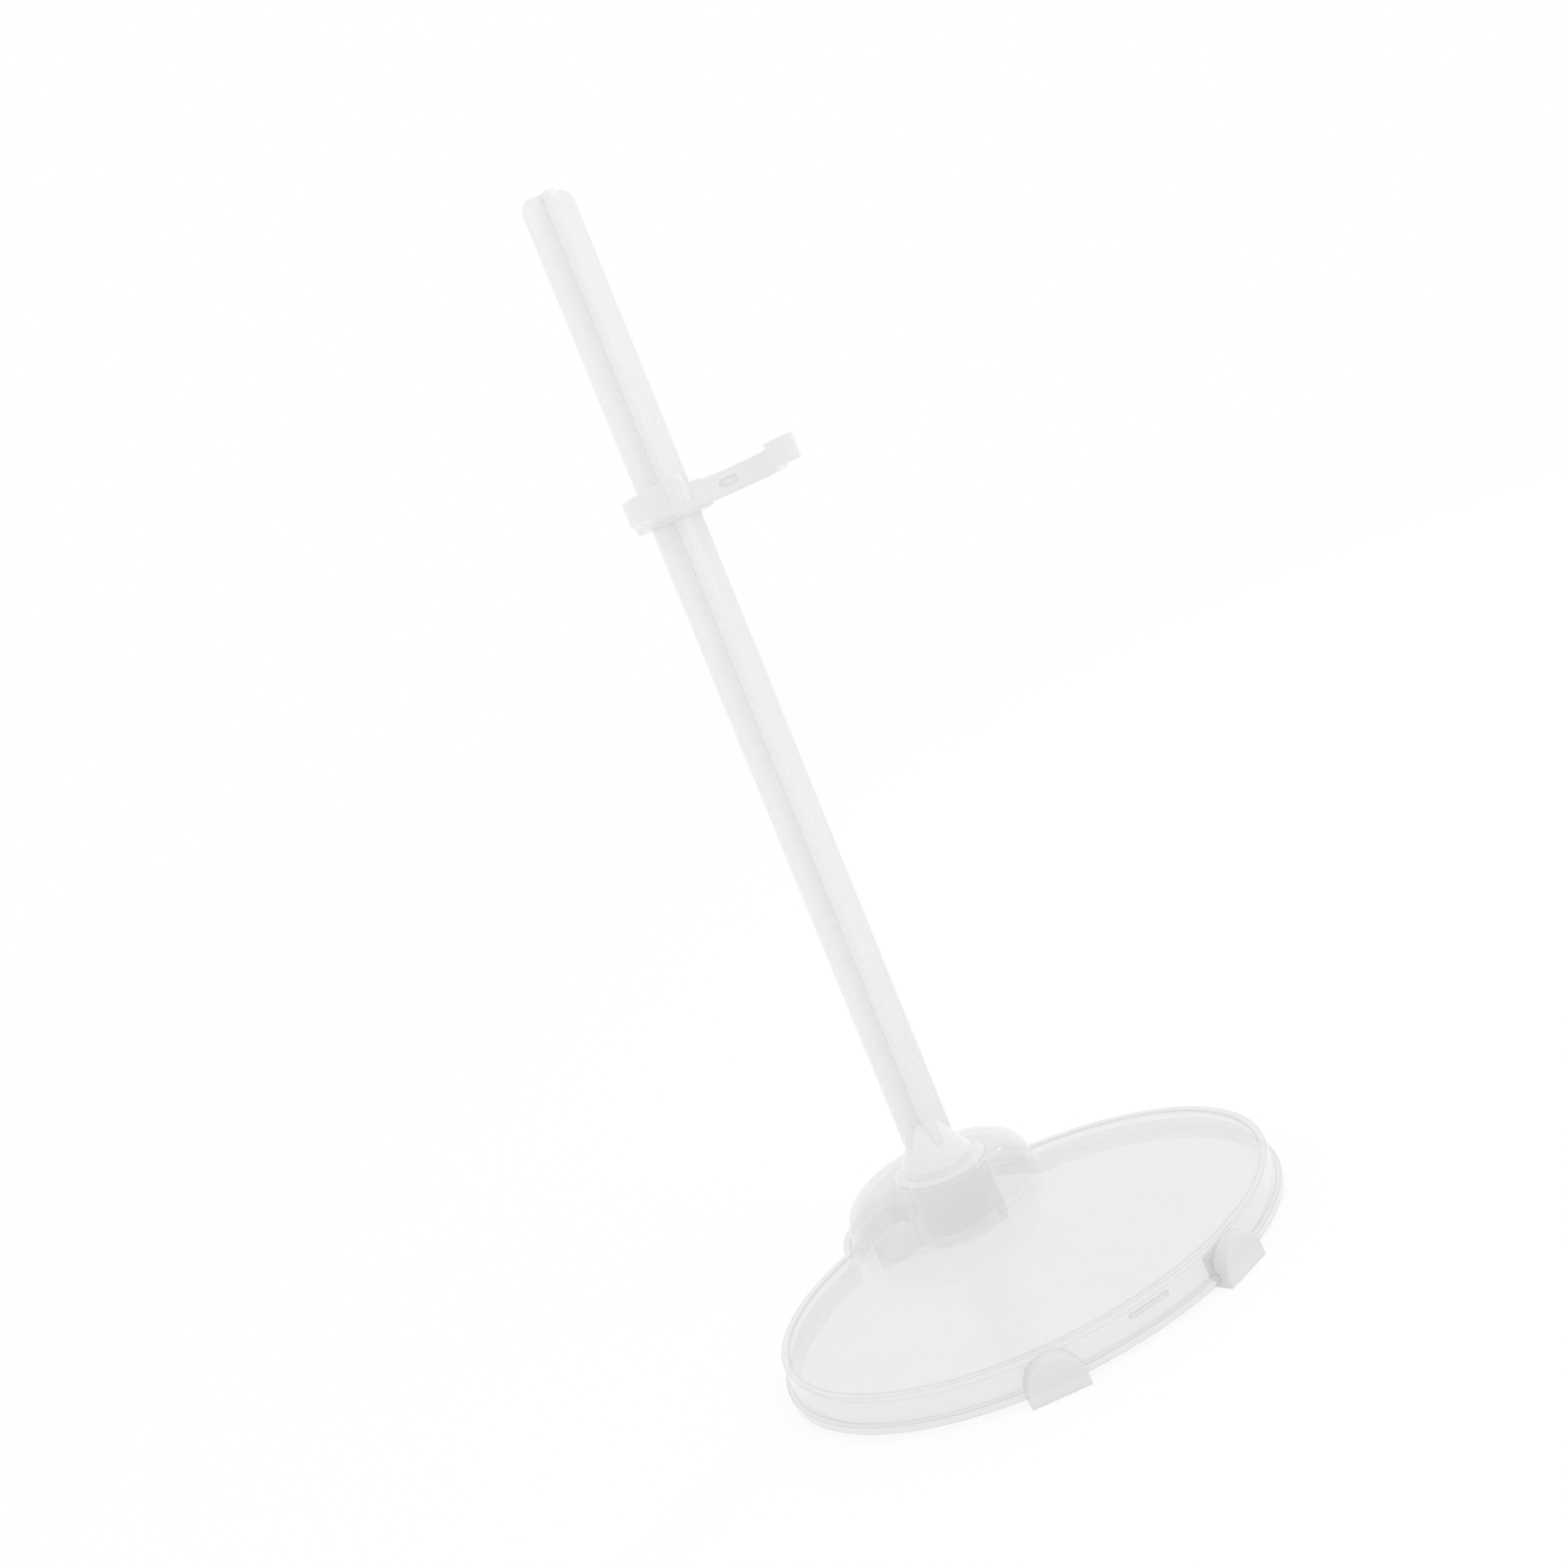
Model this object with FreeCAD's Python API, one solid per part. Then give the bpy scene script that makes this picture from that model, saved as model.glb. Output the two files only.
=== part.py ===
import FreeCAD, Part
import math
import os

# Doll display stand: an oval hollow base with a domed socket at the rear, a cross-section post that
# plugs into the socket and turns in it, and a C-shaped waist clip that slides along the post.
# Millimetres, +Z up, front of the stand towards -Y. Each piece is built with the oval's centre on the
# Z axis; at the end everything is moved together so that the origin is the middle of the footprint,
# on the surface that the stand rests on.

Vec = FreeCAD.Vector

# Oval base moulding
base_half_width = 44.0
base_half_depth = 33.0
skirt_height = 5.0
shell_wall = 1.2
plate_thickness = 1.2
rim_lip_reach = 0.9
rim_lip_height = 1.1
edge_bead_width = 1.1
edge_bead_height = 0.35
gate_scar_length = 7.0
gate_scar_height = 0.5
gate_scar_relief = 0.25

# Rear lobe and dome that carry the socket
post_offset = 23.3
lobe_radius = 21.2
dome_offset = 27.5
dome_half_width = 18.4
dome_half_depth = 14.0
dome_height = 8.6
dome_roundness = 2.5
dome_steps = 7
dome_shell = 1.1
dome_root_radius = 0.7
deck_width = 1.0

# Socket sleeve and its ribs
plug_radius = 6.4
plug_clearance = 0.05
sleeve_wall = 1.9
sleeve_proud = 0.3
sleeve_floor_gap = 2.2
socket_floor = 1.2
weld_gap = 0.04
rib_thickness = 1.2
rib_drop = 1.6
rib_angles = {"right": -60, "rear": 60, "left": 180}

# Support post
post_height = 190.0
post_width = 9.0
post_web = 1.5
post_corner_radius = 2.2
post_edge_radius = 0.25
plug_seat_gap = 0.1
plug_rise = 1.3
plug_cone_height = 7.0
plug_cone_top_radius = 2.2

# Waist clip
clip_rest_top = 139.1
clip_clearance = 0.1
collar_wall = 1.25
collar_height = 4.8
collar_corner_radius = 2.4
collar_edge_radius = 0.4
arm_inner_radius = 11.6
arm_collar_gap = 0.05
arm_thickness = 1.6
arm_height = 4.0
arm_end_angle = 41.0
arm_edge_radius = 0.35
tip_length = 5.4
tip_thickness = 2.6
tip_setback = 0.1
tip_flare_angle = 24.0
gate_dimple_length = 3.4
gate_dimple_height = 1.2
gate_dimple_depth = 0.4
gate_dimple_angle = 49.0

# Clip-on feet
foot_drop = 1.0
foot_half_width = 4.6
foot_reach = 2.6
foot_edge_radius = 0.5
foot_hook_depth = 1.4
foot_hook_height = 2.6
foot_hook_half_width = 3.2
foot_grip_clearance = 0.05
front_foot_offset = 16.7

# Levels and places that follow from the sizes above
rim_z = foot_drop
plate_z = rim_z + skirt_height
ceiling_z = plate_z - plate_thickness
dome_top_z = plate_z + dome_height
sleeve_top_z = dome_top_z + sleeve_proud
sleeve_bottom_z = rim_z + sleeve_floor_gap
bore_radius = plug_radius + plug_clearance
sleeve_radius = bore_radius + sleeve_wall
deck_radius = sleeve_radius + deck_width
plug_bottom_z = sleeve_bottom_z + socket_floor + plug_seat_gap
plug_top_z = sleeve_top_z + plug_rise
collar_half = post_width / 2 + clip_clearance + collar_wall
over = 1.0


def ellipse_face(half_width, half_depth, y, z):
    if half_width >= half_depth:
        curve = Part.Ellipse(Vec(half_width, y, z), Vec(0, y + half_depth, z), Vec(0, y, z))
    else:
        curve = Part.Ellipse(Vec(0, y + half_depth, z), Vec(-half_width, y, z), Vec(0, y, z))
    return Part.Face(Part.Wire(curve.toShape()))


def outline(grow, z0, z1):
    # Plan of the base, the oval joined to the round rear lobe, between two levels.
    height = Vec(0, 0, z1 - z0)
    oval = ellipse_face(base_half_width + grow, base_half_depth + grow, 0, z0).extrude(height)
    lobe = Part.makeCylinder(lobe_radius + grow, z1 - z0, Vec(0, post_offset, z0))
    return oval.fuse(lobe).removeSplitter()


def ring(grow_out, grow_in, z0, z1):
    return outline(grow_out, z0, z1).cut(outline(grow_in, z0 - over, z1 + over))


def dome_section(inset, share, z):
    # Cross-section of the dome: share runs from 1 at the plate to 0 at the socket.
    width = deck_radius + (dome_half_width - deck_radius) * share - inset
    depth = deck_radius + (dome_half_depth - deck_radius) * share - inset
    y = post_offset + (dome_offset - post_offset) * share
    return ellipse_face(width, depth, y, z).OuterWire


def dome_body(inset, drop):
    # Dome shrunk by inset, with a straight root that goes down by drop below the plate's top.
    height = dome_height - inset
    wires = []
    for step in range(dome_steps + 1):
        rise = math.sin(step / dome_steps * math.pi / 2)
        share = (1 - rise ** dome_roundness) ** (1 / dome_roundness)
        wires.append(dome_section(inset, share, plate_z + height * rise))
    cap = Part.makeLoft(wires, True)
    root = Part.Face(dome_section(inset, 1, plate_z - drop)).extrude(Vec(0, 0, drop))
    return cap.fuse(root).removeSplitter()


def dome_root_edges(shell):
    # Where the dome's outside meets the top of the plate.
    found = []
    for edge in shell.Edges:
        points = [point - Vec(0, dome_offset, 0) for point in edge.discretize(5)]
        on_plate = all(abs(point.z - plate_z) < 1e-4 for point in points)
        at_root = all(
            abs(math.hypot(point.x / dome_half_width, point.y / dome_half_depth) - 1) < 1e-3 for point in points
        )
        if on_plate and at_root:
            found.append(edge)
    return found


def sleeve_blank(radius, z0, z1):
    return Part.makeCylinder(radius, z1 - z0, Vec(0, post_offset, z0))


def base_shell():
    shell = outline(0, rim_z, plate_z)
    shell = shell.cut(outline(-shell_wall, rim_z - over, ceiling_z))
    shell = shell.fuse(ring(rim_lip_reach, -shell_wall, rim_z, rim_z + rim_lip_height))
    shell = shell.fuse(ring(0, -edge_bead_width, plate_z - plate_thickness / 2, plate_z + edge_bead_height))
    shell = shell.fuse(dome_body(0, plate_thickness / 2)).removeSplitter()
    shell = shell.makeFillet(dome_root_radius, dome_root_edges(shell))
    shell = shell.cut(dome_body(dome_shell, plate_thickness + over))
    scar_z = plate_z - edge_bead_width - gate_scar_height
    scar = Part.makeBox(
        gate_scar_length,
        shell_wall / 2 + gate_scar_relief,
        gate_scar_height,
        Vec(-gate_scar_length / 2, -base_half_depth - gate_scar_relief, scar_z),
    )
    shell = shell.fuse(scar)
    neck = sleeve_blank(sleeve_radius + weld_gap, ceiling_z, dome_top_z + over)
    return shell.cut(neck).removeSplitter()


def socket_sleeve():
    tube = sleeve_blank(sleeve_radius, sleeve_bottom_z, sleeve_top_z)
    rims = [edge for edge in tube.Edges if abs(edge.BoundBox.ZMin - sleeve_top_z) < 1e-6 and edge.Closed]
    tube = tube.makeFillet(sleeve_proud * 0.8, rims)
    return tube.cut(sleeve_blank(bore_radius, sleeve_bottom_z + socket_floor, sleeve_top_z + over))


def socket_rib(angle):
    # Radial web between the sleeve and the inside of the dome.
    inset = dome_shell + weld_gap
    length = dome_half_width + dome_half_depth
    web = Part.makeBox(
        length,
        rib_thickness,
        dome_top_z - ceiling_z + rib_drop,
        Vec(0, post_offset - rib_thickness / 2, ceiling_z - rib_drop),
    )
    web.rotate(Vec(0, post_offset, 0), Vec(0, 0, 1), angle)
    web = web.common(dome_body(inset, plate_thickness + rib_drop))
    return web.cut(sleeve_blank(sleeve_radius + weld_gap, rim_z, dome_top_z))


def cross_prism(width, web, z0, z1):
    bars = []
    for size_x, size_y in ((width, web), (web, width)):
        corner = Vec(-size_x / 2, post_offset - size_y / 2, z0)
        bars.append(Part.makeBox(size_x, size_y, z1 - z0, corner))
    return bars[0].fuse(bars[1]).removeSplitter()


def corner_cutter(angle):
    # Takes the sharp outer top corner off one flange of the post.
    radius = post_corner_radius
    side = post_width / 2 - radius
    block = Part.makeBox(radius + over, post_web + over, radius + over,
                         Vec(side, -(post_web + over) / 2, post_height - radius))
    round_edge = Part.makeCylinder(radius, post_web + 2 * over,
                                   Vec(side, -(post_web + 2 * over) / 2, post_height - radius), Vec(0, 1, 0))
    cutter = block.cut(round_edge)
    cutter.rotate(Vec(0, 0, 0), Vec(0, 0, 1), angle)
    cutter.translate(Vec(0, post_offset, 0))
    return cutter


def flange_edges(post):
    # The long upright edges at the outer ends of the four flanges.
    reach = math.hypot(post_width / 2, post_web / 2)
    found = []
    for edge in post.Edges:
        middle = edge.discretize(3)[1] - Vec(0, post_offset, 0)
        upright = edge.BoundBox.ZLength > post_height / 2
        if upright and abs(math.hypot(middle.x, middle.y) - reach) < 1e-4:
            found.append(edge)
    return found


def support_post():
    post = cross_prism(post_width, post_web, plug_top_z - over, post_height)
    for quarter in range(4):
        post = post.cut(corner_cutter(90 * quarter))
    post = post.makeFillet(post_edge_radius, flange_edges(post))
    plug = sleeve_blank(plug_radius, plug_bottom_z, plug_top_z)
    cone = Part.makeCone(plug_radius, plug_cone_top_radius, plug_cone_height, Vec(0, post_offset, plug_top_z))
    return post.fuse(plug).fuse(cone).removeSplitter()


def rounded_block(half, height, radius, centre, z0):
    block = Part.makeBox(2 * half, 2 * half, height, Vec(centre.x - half, centre.y - half, z0))
    uprights = [edge for edge in block.Edges if edge.BoundBox.ZLength > height / 2]
    return block.makeFillet(radius, uprights)


def flat_edges(solid):
    # Edges that lie in the solid's top or bottom plane.
    box = solid.BoundBox
    levels = (box.ZMin, box.ZMax)
    found = []
    for edge in solid.Edges:
        heights = [point.z for point in edge.discretize(3)]
        if any(max(abs(height - level) for height in heights) < 1e-4 for level in levels):
            found.append(edge)
    return found


def clip_arms(centre):
    # The C, open towards the front, with both tips.
    reach = arm_inner_radius + arm_thickness
    far = 2 * reach
    end = math.radians(arm_end_angle)
    sides = [Vec(side * far * math.sin(end), -far * math.cos(end), 0) for side in (-1, 1)]
    mouth = Part.Face(Part.makePolygon([Vec(0, 0, 0), sides[0], sides[1], Vec(0, 0, 0)]))
    mouth = mouth.extrude(Vec(0, 0, arm_height + 2 * over))
    mouth.translate(centre - Vec(0, 0, over))
    inner = Part.makeCylinder(arm_inner_radius, arm_height + 2 * over, centre - Vec(0, 0, over))
    arms = Part.makeCylinder(reach, arm_height, centre).cut(mouth).cut(inner).removeSplitter()
    arms = arms.makeFillet(arm_edge_radius, flat_edges(arms))
    for side in (-1, 1):
        arms = arms.fuse(clip_tip(centre, side))
    return arms


def clip_tip(centre, side):
    # Thick rounded tip that flares outwards to lead the waist into the clip.
    end = math.radians(arm_end_angle)
    distance = arm_inner_radius + tip_setback + tip_thickness / 2
    radius = tip_thickness / 2
    straight = tip_length - tip_thickness
    bar = Part.makeBox(tip_thickness, straight, arm_height, Vec(-radius, -straight, 0))
    for end_y in (-straight, 0):
        bar = bar.fuse(Part.makeCylinder(radius, arm_height, Vec(0, end_y, 0)))
    bar = bar.removeSplitter()
    bar = bar.makeFillet(arm_edge_radius, flat_edges(bar))
    bar.rotate(Vec(0, 0, 0), Vec(0, 0, 1), side * tip_flare_angle)
    bar.translate(centre + Vec(side * distance * math.sin(end), -distance * math.cos(end), 0))
    return bar


def gate_dimple(centre):
    # Shallow recess in the inner face of one arm, where the mould was filled.
    radius = gate_dimple_height / 2
    straight = gate_dimple_length - gate_dimple_height
    start = arm_inner_radius - over
    depth = over + gate_dimple_depth
    middle_z = arm_height / 2
    slot = Part.makeBox(depth, straight, gate_dimple_height, Vec(start, -straight / 2, middle_z - radius))
    for end_y in (-straight / 2, straight / 2):
        slot = slot.fuse(Part.makeCylinder(radius, depth, Vec(start, end_y, middle_z), Vec(1, 0, 0)))
    slot.rotate(Vec(0, 0, 0), Vec(0, 0, 1), gate_dimple_angle)
    slot.translate(centre)
    return slot


def waist_clip():
    axis = Vec(0, post_offset, 0)
    bottom_z = clip_rest_top - collar_height
    collar = rounded_block(collar_half, collar_height, collar_corner_radius, axis, bottom_z)
    collar = collar.makeFillet(collar_edge_radius, flat_edges(collar))
    distance = collar_half + arm_collar_gap + arm_inner_radius
    centre = Vec(0, post_offset - distance, bottom_z + (collar_height - arm_height) / 2)
    clip = collar.fuse(clip_arms(centre)).cut(gate_dimple(centre))
    hole = cross_prism(
        post_width + 2 * clip_clearance,
        post_web + 2 * clip_clearance,
        bottom_z - over,
        clip_rest_top + over,
    )
    return clip.cut(hole).removeSplitter()


def rim_grip():
    # Space that a foot leaves for the rim it is pushed on: the skirt and its lip, with clearance.
    gap = foot_grip_clearance
    wall = ring(gap, -shell_wall - gap, rim_z - gap, plate_z + foot_half_width)
    lip = ring(rim_lip_reach + gap, -shell_wall - gap, rim_z - gap, rim_z + rim_lip_height + gap)
    return wall.fuse(lip)


def foot(wall_point, outward_angle):
    # A D-shaped pad outside the skirt, a sole under the rim and a hook inside. Built with its outer
    # face towards -Y, then turned to stand square to the wall.
    straight = plate_z - foot_half_width
    depth = foot_reach + shell_wall + foot_hook_depth
    sides = Part.makeBox(2 * foot_half_width, depth, straight, Vec(-foot_half_width, -foot_reach, 0))
    crown = Part.makeCylinder(foot_half_width, depth, Vec(0, -foot_reach, straight), Vec(0, 1, 0))
    corner = Vec(-foot_half_width, -foot_reach, 0)
    above_floor = Part.makeBox(2 * foot_half_width, depth, plate_z, corner)
    pad = sides.fuse(crown).common(above_floor).removeSplitter()
    face = [edge for edge in pad.Edges if edge.BoundBox.YMax < -foot_reach + 1e-6]
    pad = pad.makeFillet(foot_edge_radius, face)
    inside = Part.makeBox(
        4 * foot_half_width,
        depth,
        plate_z + over,
        Vec(-2 * foot_half_width, shell_wall / 2, rim_z + foot_hook_height),
    )
    pad = pad.cut(inside)
    for corner_x in (foot_hook_half_width, -foot_hook_half_width - foot_half_width):
        corner = Vec(corner_x, shell_wall / 2, -over)
        pad = pad.cut(Part.makeBox(foot_half_width, depth, plate_z + 2 * over, corner))
    pad.rotate(Vec(0, 0, 0), Vec(0, 0, 1), outward_angle)
    pad.translate(Vec(wall_point.x, wall_point.y, 0))
    return pad.cut(rim_grip())


def front_foot(side):
    x = side * front_foot_offset
    y = -base_half_depth * math.sqrt(1 - (x / base_half_width) ** 2)
    slope = math.atan2(x / base_half_width ** 2, -y / base_half_depth ** 2)
    return foot(Vec(x, y, 0), math.degrees(slope))


def rear_foot():
    return foot(Vec(0, post_offset + lobe_radius, 0), 180)


def build():
    pieces = {
        "base_shell": base_shell(),
        "socket_sleeve": socket_sleeve(),
        "support_post": support_post(),
        "waist_clip": waist_clip(),
        "foot_front_left": front_foot(-1),
        "foot_front_right": front_foot(1),
        "foot_rear": rear_foot(),
    }
    for side, angle in rib_angles.items():
        pieces[f"socket_rib_{side}"] = socket_rib(angle)
    return pieces


def centred(pieces):
    # Moves the whole stand so that the origin is the middle of its footprint on the resting surface.
    box = Part.makeCompound(list(pieces.values())).BoundBox
    shift = Vec(-(box.XMin + box.XMax) / 2, -(box.YMin + box.YMax) / 2, -box.ZMin)
    for piece in pieces.values():
        piece.translate(shift)
    return shift


pieces = build()
shift = centred(pieces)
os.makedirs("parts", exist_ok=True)
for name, piece in pieces.items():
    piece.exportStep(f"parts/{name}.step")
print("post axis at y =", round(post_offset + shift.y, 4))
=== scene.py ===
"""Looks of the doll display stand, built around the packed model and laid out as an add-on."""

import math

import bpy
from bpy.props import FloatProperty, FloatVectorProperty, PointerProperty
from mathutils import Matrix, Vector


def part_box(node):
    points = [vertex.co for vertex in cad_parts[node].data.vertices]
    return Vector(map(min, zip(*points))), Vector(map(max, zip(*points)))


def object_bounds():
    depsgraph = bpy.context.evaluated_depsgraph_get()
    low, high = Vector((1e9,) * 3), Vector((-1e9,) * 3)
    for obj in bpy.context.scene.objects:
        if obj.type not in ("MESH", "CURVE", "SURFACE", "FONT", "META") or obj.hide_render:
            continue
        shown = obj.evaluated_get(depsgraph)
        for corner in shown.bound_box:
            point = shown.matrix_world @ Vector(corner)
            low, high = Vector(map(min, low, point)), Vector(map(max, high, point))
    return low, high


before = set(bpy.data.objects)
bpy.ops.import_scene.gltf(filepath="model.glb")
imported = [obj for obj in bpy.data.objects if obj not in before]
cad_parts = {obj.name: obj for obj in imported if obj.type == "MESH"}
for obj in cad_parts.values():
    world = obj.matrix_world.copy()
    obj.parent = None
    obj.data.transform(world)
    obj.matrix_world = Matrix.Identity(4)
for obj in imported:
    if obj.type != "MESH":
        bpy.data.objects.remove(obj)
cad_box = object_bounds()

bl_info = {
    "name": "Doll Display Stand",
    "version": (1, 0, 0),
    "blender": (4, 5, 0),
    "location": "View3D > Sidebar > Doll Stand",
    "description": "Finishes, lights and camera for a translucent doll display stand",
    "category": "Object",
}

MM = 0.001

# Plastic: a cloudy body; the fine noise and the skin's are multiples of the cloud's own scale
FINE_SCALE = 9.0
SKIN_SCALE = 40.0
CLOUD_SHARE = 0.7
CLOUD_LOW, CLOUD_HIGH = 0.35, 0.65
DEEP_TONE = 0.985
ROUGHNESS_SWING = 0.08
ALPHA_SWING = 0.05

# Plastic: how dense a see-through wall gets where it is seen edge-on and along its edges, where painted shade also
# darkens the colour
EDGE_ON_POWER = 3.0
EDGE_ON_DENSITY = 0.7
LINE_DENSITY = 0.3
LINE_STARTS, LINE_FULL = 0.99, 0.85
BEVEL_SAMPLES = 12

# Plastic: the moulded skin
SKIN_SHARE = 0.6
BUMP_STRENGTH = 0.06
COAT_ROUGHNESS = 0.08
REFRACTIVE_INDEX = 1.45

# Stage: a white floor that glows to the rays that see it, and a camera as wide as it is far, in millimetres
PAPER_WHITE = 0.97
PAPER_GLOW = 0.8
SENSOR_AND_LENS = 36.0


# Shader building


class Sock:
    """A shader socket that can be used in a Python expression."""

    def __init__(self, shader, value):
        self.shader = shader
        self.value = value

    def _math(self, operation, *values):
        return self.shader.node("ShaderNodeMath", {"operation": operation}, values)

    def __add__(self, other):
        return self._math("ADD", self, other)

    def __radd__(self, other):
        return self._math("ADD", other, self)

    def __sub__(self, other):
        return self._math("SUBTRACT", self, other)

    def __mul__(self, other):
        return self._math("MULTIPLY", self, other)

    def __rmul__(self, other):
        return self._math("MULTIPLY", other, self)

    def __pow__(self, other):
        return self._math("POWER", self, other)


class Shader:
    """The node tree of a material or a world."""

    def __init__(self, owner, output_kind="ShaderNodeOutputMaterial"):
        self.owner = owner
        owner.use_nodes = True
        self.tree = owner.node_tree
        self.tree.nodes.clear()
        self.output = self.tree.nodes.new(output_kind)

    def plug(self, socket, value):
        if isinstance(value, Sock):
            value = value.value
        if isinstance(value, bpy.types.NodeSocket):
            self.tree.links.new(value, socket)
        else:
            socket.default_value = value

    def node(self, kind, settings=None, inputs=(), output=0):
        """Adds a node: its settings first, then the values or links of its sockets."""
        made = self.tree.nodes.new(kind)
        for key, value in (settings or {}).items():
            setattr(made, key, value)
        pairs = inputs.items() if isinstance(inputs, dict) else enumerate(inputs)
        for key, value in pairs:
            self.plug(made.inputs[key], value)
        return Sock(self, made.outputs[output])

    def mix_colour(self, factor, colour_a, colour_b):
        """Mixes two colours; the Mix node's colour sockets are inputs 6 and 7 and output 2."""
        return self.node(
            "ShaderNodeMix",
            {"data_type": "RGBA"},
            {0: factor, 6: colour_a, 7: colour_b},
            output=2,
        )

    def noise(self, place, scale, detail, roughness=0.5):
        return self.node(
            "ShaderNodeTexNoise",
            {},
            {"Vector": place, "Scale": scale, "Detail": detail, "Roughness": roughness},
        )

    def ramp(self, value, low, high):
        """0 below low, 1 above high and a straight climb between."""
        return self.node(
            "ShaderNodeMapRange",
            {"clamp": True},
            {"Value": value, "From Min": low, "From Max": high, "To Min": 0.0, "To Max": 1.0},
        )

    def finish(self, surface):
        self.plug(self.output.inputs["Surface"], surface)
        return self.owner


def grey(level):
    return (level, level, level, 1.0)


def seen(shader):
    """1 for the rays that see the backdrop: the camera's, reflections and what shows through plastic."""
    path = shader.tree.nodes.new("ShaderNodeLightPath")
    total = Sock(shader, path.outputs["Is Camera Ray"])
    for kind in ("Is Glossy Ray", "Is Transmission Ray"):
        ray = Sock(shader, path.outputs[kind])
        total = shader.node("ShaderNodeMath", {"operation": "MAXIMUM"}, (total, ray))
    return total


def painted_edge_lines(shader, width):
    """Mask of the painted shade: 1 along the sharp edges and inner corners, where a rounded normal turns away from the
    plain one.
    """
    rounded = shader.node("ShaderNodeBevel", {"samples": BEVEL_SAMPLES}, {"Radius": width})
    plain = shader.node("ShaderNodeNewGeometry", output="Normal")
    agree = shader.node("ShaderNodeVectorMath", {"operation": "DOT_PRODUCT"}, (rounded, plain), output="Value")
    return shader.ramp(agree, LINE_STARTS, LINE_FULL)


def plastic(name, look, cloud_scale, grain_height):
    """Milky see-through moulded plastic: a cloudy body, painted shade in darker lines along its edges and inner
    corners, a painted glow and a satin skin.
    """
    shader = Shader(bpy.data.materials.new(name))
    place = shader.node("ShaderNodeTexCoord", output="Object")
    cloud = shader.noise(place, cloud_scale, detail=4.0)
    fine = shader.noise(place, cloud_scale * FINE_SCALE, detail=3.0, roughness=0.6)
    skin = shader.noise(place, cloud_scale * SKIN_SCALE, detail=2.0)
    mottle = shader.ramp(cloud * CLOUD_SHARE + fine * (1.0 - CLOUD_SHARE), CLOUD_LOW, CLOUD_HIGH)
    swing = mottle - 0.5
    shade_line = painted_edge_lines(shader, look.edge_width)

    # A painted glow stands in for light scattered inside the wall; its share is taken off the colour that the lamps
    # light.
    lit = 1.0 - look.inner_glow
    milk, deep, edge_shade = (
        tuple(lit * share * value for value in look.colour) + (1.0,) for share in (1.0, DEEP_TONE, look.edge_tone)
    )
    bump = shader.node(
        "ShaderNodeBump",
        {},
        {
            "Strength": BUMP_STRENGTH,
            "Distance": grain_height,
            "Height": skin * SKIN_SHARE + fine * (1.0 - SKIN_SHARE),
        },
    )
    edge_on = shader.node("ShaderNodeLayerWeight", {}, {"Blend": 0.5}, output="Facing")
    density = look.clearness * (EDGE_ON_DENSITY * edge_on**EDGE_ON_POWER + LINE_DENSITY * shade_line)
    surface = shader.node(
        "ShaderNodeBsdfPrincipled",
        {},
        {
            # Painted shade: the colour goes darker along the edges and inner corners, standing in for refraction and
            # shade there.
            "Base Color": shader.mix_colour(shade_line, shader.mix_colour(mottle, deep, milk), edge_shade),
            "Roughness": look.roughness + ROUGHNESS_SWING * swing,
            "Alpha": 1.0 - look.clearness + ALPHA_SWING * swing + density,
            "Normal": bump,
            "IOR": REFRACTIVE_INDEX,
            "Coat Weight": look.gloss,
            "Coat Roughness": COAT_ROUGHNESS,
            # Painted glow: the plastic gives off light in its own colour, so its shaded parts stay bright.
            "Emission Color": tuple(look.colour) + (1.0,),
            "Emission Strength": look.inner_glow,
        },
    )
    return shader.finish(surface)


def dress(node_name, material):
    """Gives a CAD node its material."""
    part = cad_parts[node_name]
    part.data.materials.clear()
    part.data.materials.append(material)


# Settings


def share_property(name, description, default):
    """A property that runs from 0 to 1."""
    return FloatProperty(name=name, description=description, subtype="FACTOR", default=default, min=0.0, max=1.0)


def plastic_props(colour, clearness, roughness, gloss, inner_glow, edge_tone):
    """The properties that each plastic has, with its own defaults."""
    return {
        "colour": FloatVectorProperty(
            name="Colour",
            description="Body colour of the plastic",
            subtype="COLOR",
            default=colour,
            min=0.0,
            max=1.0,
        ),
        "clearness": share_property("Clearness", "Share of the light that passes straight through", clearness),
        "roughness": share_property("Roughness", "Frosting of the surface", roughness),
        "gloss": share_property("Gloss", "Weight of the shiny moulded skin", gloss),
        # Painted glow: emission standing in for light scattered about inside the wall
        "inner_glow": share_property("Inner Glow", "Light that is scattered about inside the wall", inner_glow),
        # Colour share of the painted shade lines along the edges and inner corners
        "edge_tone": share_property("Edge Tone", "Brightness of the lines along the edges", edge_tone),
        "edge_width": FloatProperty(
            name="Edge Width",
            description="Width of the lines along the edges",
            subtype="DISTANCE",
            default=0.3 * MM,
            min=0.0,
        ),
    }


class BaseLook(bpy.types.PropertyGroup):
    """Finish of the base moulding."""

    __annotations__ = plastic_props(
        colour=(0.75, 0.745, 0.76), clearness=0.64, roughness=0.22, gloss=0.9, inner_glow=0.42, edge_tone=0.3
    )


class SocketLook(bpy.types.PropertyGroup):
    """Finish of the thick socket and its ribs."""

    __annotations__ = plastic_props(
        colour=(0.87, 0.87, 0.875), clearness=0.62, roughness=0.3, gloss=0.4, inner_glow=0.45, edge_tone=0.5
    )


class PostLook(bpy.types.PropertyGroup):
    """Finish of the support post."""

    __annotations__ = plastic_props(
        colour=(0.895, 0.895, 0.895), clearness=0.35, roughness=0.3, gloss=0.4, inner_glow=0.2, edge_tone=0.7
    )


class ClipLook(bpy.types.PropertyGroup):
    """Finish of the waist clip."""

    __annotations__ = plastic_props(
        colour=(0.86, 0.86, 0.86), clearness=0.22, roughness=0.35, gloss=0.3, inner_glow=0.22, edge_tone=0.75
    )


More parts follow.
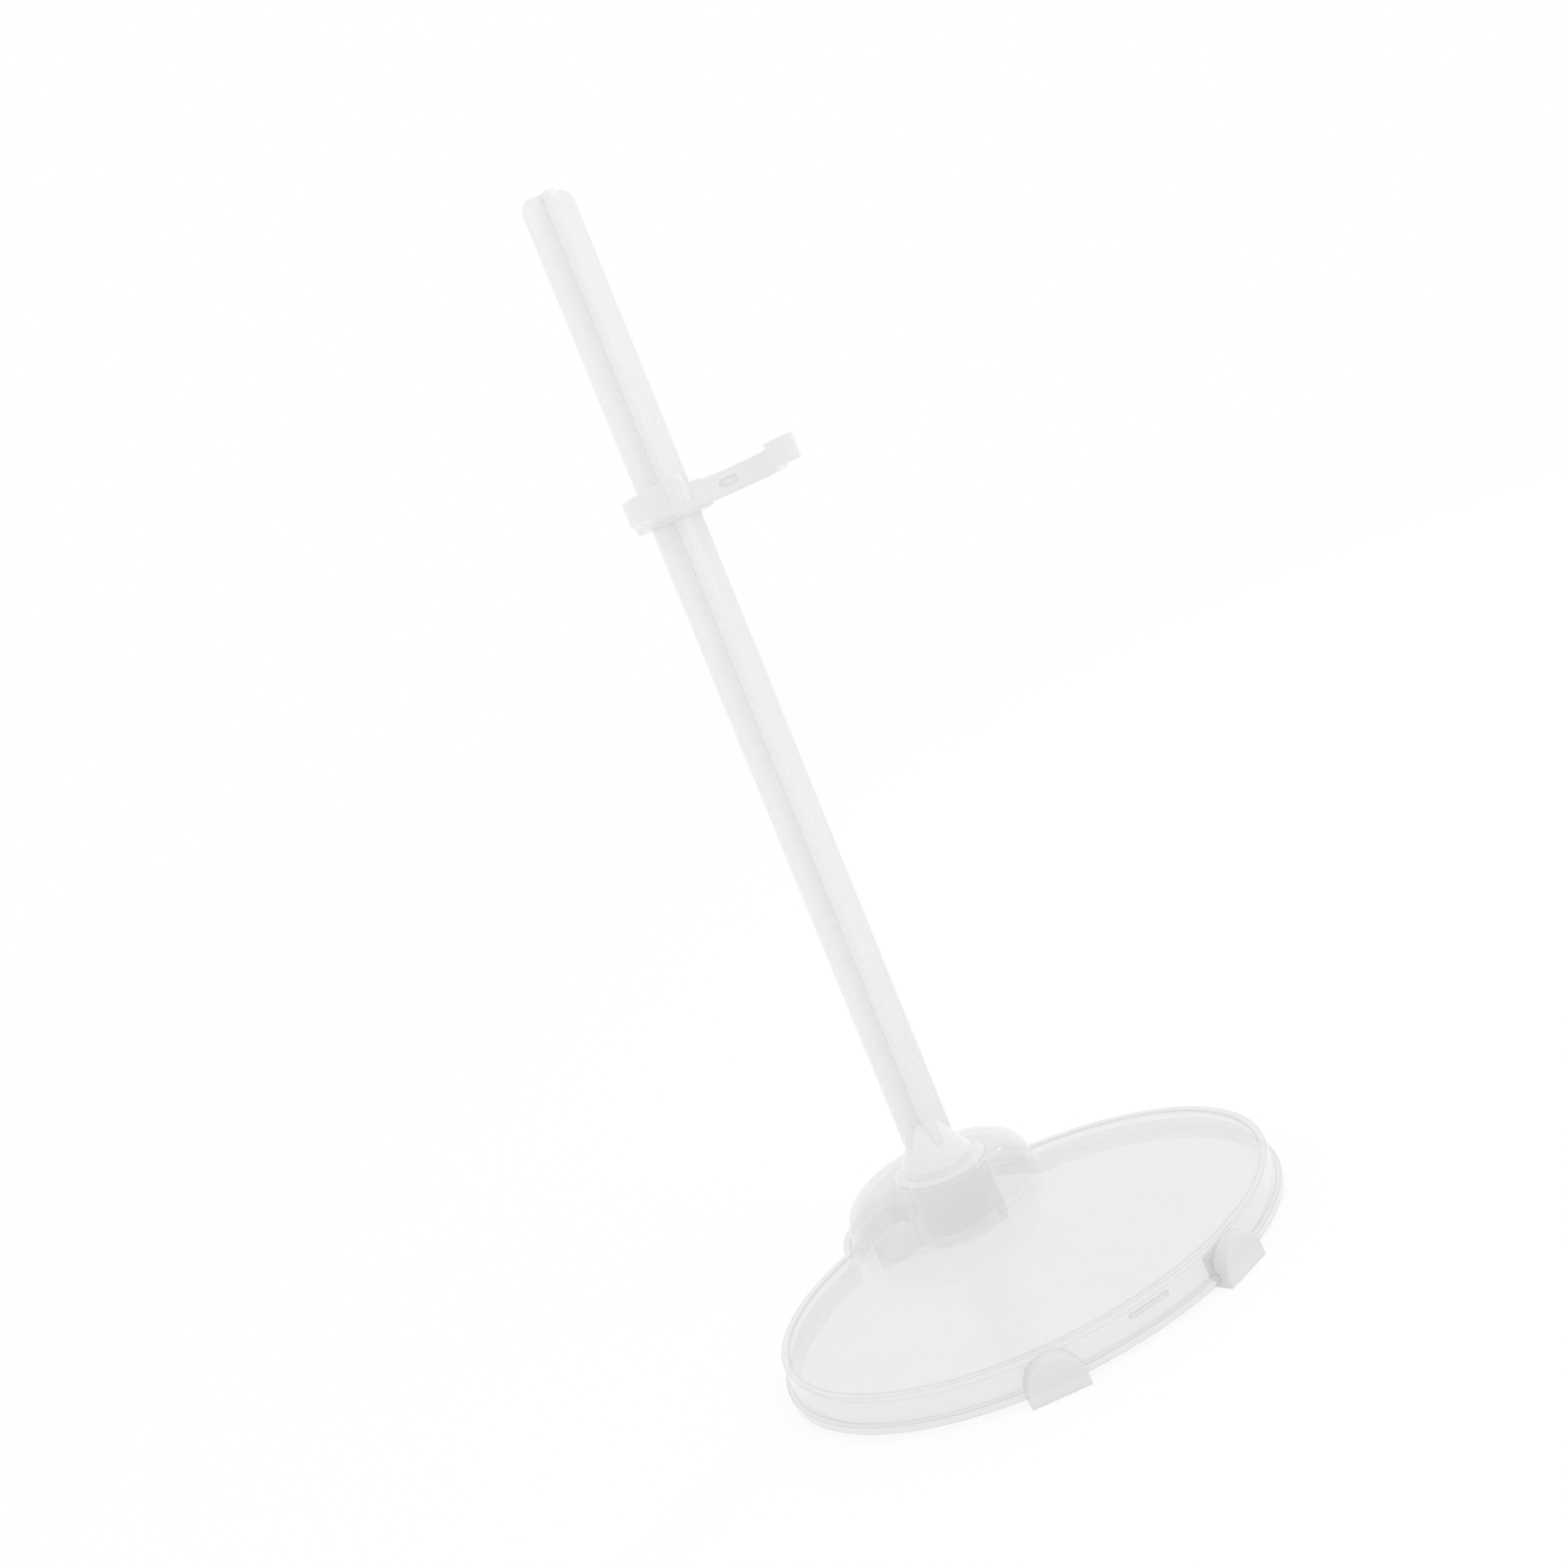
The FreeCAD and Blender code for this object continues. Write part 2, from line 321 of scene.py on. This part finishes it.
class FootLook(bpy.types.PropertyGroup):
    """Finish of the push-on feet."""

    __annotations__ = plastic_props(
        colour=(0.77, 0.77, 0.77), clearness=0.08, roughness=0.5, gloss=0.05, inner_glow=0.15, edge_tone=0.8
    )


class StageSettings(bpy.types.PropertyGroup):
    """Floor, light and camera."""

    floor_radius: FloatProperty(
        name="Floor Radius", description="Half width of the floor", subtype="DISTANCE", default=3.0, min=0.5
    )
    world_light: FloatProperty(
        name="World Light", description="Even light from all round", default=0.96, min=0.0, max=2.0
    )
    key_power: FloatProperty(name="Key Power", description="Main softbox", subtype="POWER", default=0.9, min=0.0)
    side_power: FloatProperty(name="Side Power", description="Small softbox", subtype="POWER", default=0.4, min=0.0)
    view_azimuth: FloatProperty(
        name="View Azimuth",
        description="Turn of the camera from square in front",
        subtype="ANGLE",
        default=math.radians(20.87),
    )
    view_elevation: FloatProperty(
        name="View Elevation",
        description="Downward tilt of the camera",
        subtype="ANGLE",
        default=math.radians(7.16),
    )
    view_roll: FloatProperty(
        name="View Roll",
        description="Roll of the camera about its line of sight",
        subtype="ANGLE",
        default=math.radians(-22.21),
    )
    view_distance: FloatProperty(
        name="View Distance", description="Camera to the aim point", subtype="DISTANCE", default=265 * MM, min=0.05
    )
    aim_height: FloatProperty(
        name="Aim Height", description="Height of the aim point on the post", subtype="DISTANCE", default=86.9 * MM
    )


# Operators


class DOLLSTAND_OT_base(bpy.types.Operator):
    """Finish the hollow base moulding"""

    bl_idname = "dollstand.base"
    bl_label = "Base"

    def execute(self, context):
        dress("base_shell", plastic("base_plastic", context.scene.base_look, cloud_scale=60.0, grain_height=0.06 * MM))
        finish = plastic("socket_plastic", context.scene.socket_look, cloud_scale=90.0, grain_height=0.06 * MM)
        for name in ("socket_sleeve", "socket_rib_left", "socket_rib_rear", "socket_rib_right"):
            dress(name, finish)
        return {"FINISHED"}


class DOLLSTAND_OT_post(bpy.types.Operator):
    """Finish the cross-section post"""

    bl_idname = "dollstand.post"
    bl_label = "Post"

    def execute(self, context):
        finish = plastic("post_plastic", context.scene.post_look, cloud_scale=70.0, grain_height=0.05 * MM)
        dress("support_post", finish)
        return {"FINISHED"}


class DOLLSTAND_OT_clip(bpy.types.Operator):
    """Finish the waist clip"""

    bl_idname = "dollstand.clip"
    bl_label = "Waist Clip"

    def execute(self, context):
        finish = plastic("clip_plastic", context.scene.clip_look, cloud_scale=110.0, grain_height=0.08 * MM)
        dress("waist_clip", finish)
        return {"FINISHED"}


class DOLLSTAND_OT_feet(bpy.types.Operator):
    """Finish the push-on feet"""

    bl_idname = "dollstand.feet"
    bl_label = "Feet"

    def execute(self, context):
        finish = plastic("foot_plastic", context.scene.foot_look, cloud_scale=150.0, grain_height=0.1 * MM)
        for name in ("foot_front_left", "foot_front_right", "foot_rear"):
            dress(name, finish)
        return {"FINISHED"}


class DOLLSTAND_OT_stage(bpy.types.Operator):
    """Add the floor, the lights, the world and the camera"""

    bl_idname = "dollstand.stage"
    bl_label = "Stage"

    def execute(self, context):
        stage = context.scene.stage_settings
        self.floor(stage.floor_radius)
        self.world(context, stage.world_light)
        middle = (cad_box[0] + cad_box[1]) / 2
        self.softbox("key_softbox", middle, azimuth=35.0, elevation=55.0, size=0.4, power=stage.key_power)
        self.softbox("side_softbox", middle, azimuth=115.0, elevation=28.0, size=0.08, power=stage.side_power)
        self.camera(context, stage)
        return {"FINISHED"}

    @staticmethod
    def floor(radius):
        mesh = bpy.data.meshes.new("floor")
        corners = [(-radius, -radius, 0), (radius, -radius, 0), (radius, radius, 0), (-radius, radius, 0)]
        mesh.from_pydata(corners, [], [(0, 1, 2, 3)])
        floor = bpy.data.objects.new("floor", mesh)
        bpy.context.scene.collection.objects.link(floor)
        shader = Shader(bpy.data.materials.new("floor_paper"))
        paper = shader.node("ShaderNodeBsdfDiffuse", {}, {"Color": grey(PAPER_WHITE)})
        glow = shader.node("ShaderNodeEmission", {}, {"Color": grey(1.0), "Strength": 1.0})
        surface = shader.node("ShaderNodeMixShader", {}, {0: seen(shader) * PAPER_GLOW, 1: paper, 2: glow})
        mesh.materials.append(shader.finish(surface))

    @staticmethod
    def world(context, level):
        """White to the rays that see it; level is how strongly it lights the rest."""
        shader = Shader(bpy.data.worlds.new("studio"), "ShaderNodeOutputWorld")
        strength = seen(shader) * (1.0 - level) + level
        sky = shader.node("ShaderNodeBackground", {}, {"Color": grey(1.0), "Strength": strength})
        context.scene.world = shader.finish(sky)

    @staticmethod
    def softbox(name, middle, azimuth, elevation, size, power, distance=0.9):
        """Square lamp; its azimuth is from straight in front towards +X, in degrees."""
        light = bpy.data.lights.new(name, "AREA")
        light.shape = "SQUARE"
        light.size = size
        light.energy = power
        lamp = bpy.data.objects.new(name, light)
        bpy.context.scene.collection.objects.link(lamp)
        flat = math.radians(azimuth)
        rise = math.radians(elevation)
        away = Vector((math.sin(flat) * math.cos(rise), -math.cos(flat) * math.cos(rise), math.sin(rise)))
        lamp.location = middle + distance * away
        lamp.rotation_euler = away.to_track_quat("Z", "Y").to_euler()

    @staticmethod
    def camera(context, stage):
        low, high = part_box("support_post")
        aim = Vector(((low.x + high.x) / 2, (low.y + high.y) / 2, stage.aim_height))
        flat = stage.view_azimuth
        tilt = stage.view_elevation
        look = Vector((math.sin(flat) * math.cos(tilt), math.cos(flat) * math.cos(tilt), -math.sin(tilt)))
        right = look.cross(Vector((0, 0, 1))).normalized()
        up = right.cross(look)
        roll = stage.view_roll
        side = right * math.cos(roll) + up * math.sin(roll)
        top = side.cross(look)
        data = bpy.data.cameras.new("photo_view")
        data.sensor_width = SENSOR_AND_LENS
        data.lens = SENSOR_AND_LENS
        camera = bpy.data.objects.new("photo_view", data)
        context.scene.collection.objects.link(camera)
        place = Matrix((side, top, -look)).transposed().to_4x4()
        place.translation = aim - look * stage.view_distance
        camera.matrix_world = place
        context.scene.camera = camera


class DOLLSTAND_PT_panel(bpy.types.Panel):
    """Lists the stand's operators and settings"""

    bl_label = "Doll Stand"
    bl_idname = "DOLLSTAND_PT_panel"
    bl_space_type = "VIEW_3D"
    bl_region_type = "UI"
    bl_category = "Doll Stand"

    def draw(self, context):
        layout = self.layout
        for step in STEPS:
            layout.operator(step.bl_idname)
        for group in SETTINGS:
            settings = getattr(context.scene, group)
            box = layout.box()
            box.label(text=SETTINGS[group].__doc__)
            for name in settings.__annotations__:
                box.prop(settings, name)


STEPS = (DOLLSTAND_OT_base, DOLLSTAND_OT_post, DOLLSTAND_OT_clip, DOLLSTAND_OT_feet, DOLLSTAND_OT_stage)
SETTINGS = {
    "base_look": BaseLook,
    "socket_look": SocketLook,
    "post_look": PostLook,
    "clip_look": ClipLook,
    "foot_look": FootLook,
    "stage_settings": StageSettings,
}


def register():
    for group in SETTINGS.values():
        bpy.utils.register_class(group)
    for name, group in SETTINGS.items():
        setattr(bpy.types.Scene, name, PointerProperty(type=group))
    for step in STEPS:
        bpy.utils.register_class(step)
    bpy.utils.register_class(DOLLSTAND_PT_panel)


def unregister():
    bpy.utils.unregister_class(DOLLSTAND_PT_panel)
    for step in reversed(STEPS):
        bpy.utils.unregister_class(step)
    for name in SETTINGS:
        delattr(bpy.types.Scene, name)
    for group in reversed(list(SETTINGS.values())):
        bpy.utils.unregister_class(group)


def main():
    register()
    scene = bpy.context.scene
    scene.view_settings.view_transform = "Standard"
    for step in STEPS:
        area, name = step.bl_idname.split(".")
        getattr(getattr(bpy.ops, area), name)()


if __name__ == "__main__":
    main()
